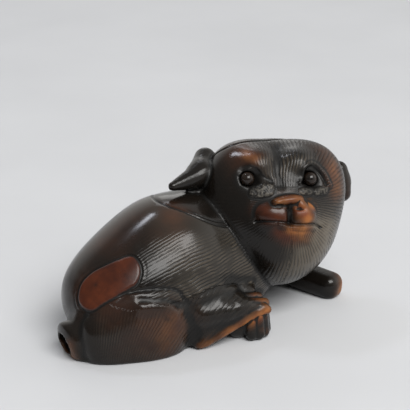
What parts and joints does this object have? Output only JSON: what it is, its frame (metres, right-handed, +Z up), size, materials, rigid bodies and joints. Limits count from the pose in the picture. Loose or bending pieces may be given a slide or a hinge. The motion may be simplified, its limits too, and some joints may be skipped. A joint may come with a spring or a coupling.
{
  "type": "netsuke",
  "caption": "Carved wooden netsuke in the form of a lying puppy with its head turned back, horn eyes and a cord channel from rump to belly.",
  "frame": {"origin": "middle of the footprint's box, at the underside that the netsuke rests on", "axes": "+X from the rump to the chest, +Y to the puppy's left, away from the side that the head looks over, +Z up"},
  "size_m": [0.0434, 0.0226, 0.0233],
  "materials": {
    "stained_wood": "dark brown stained boxwood, polished, worn to reddish orange on the high places",
    "dark_horn": "polished dark horn"
  },
  "bodies": {
    "root": {"puppy": "stained_wood", "right_eye": "dark_horn", "left_eye": "dark_horn"}
  },
  "joints": []
}
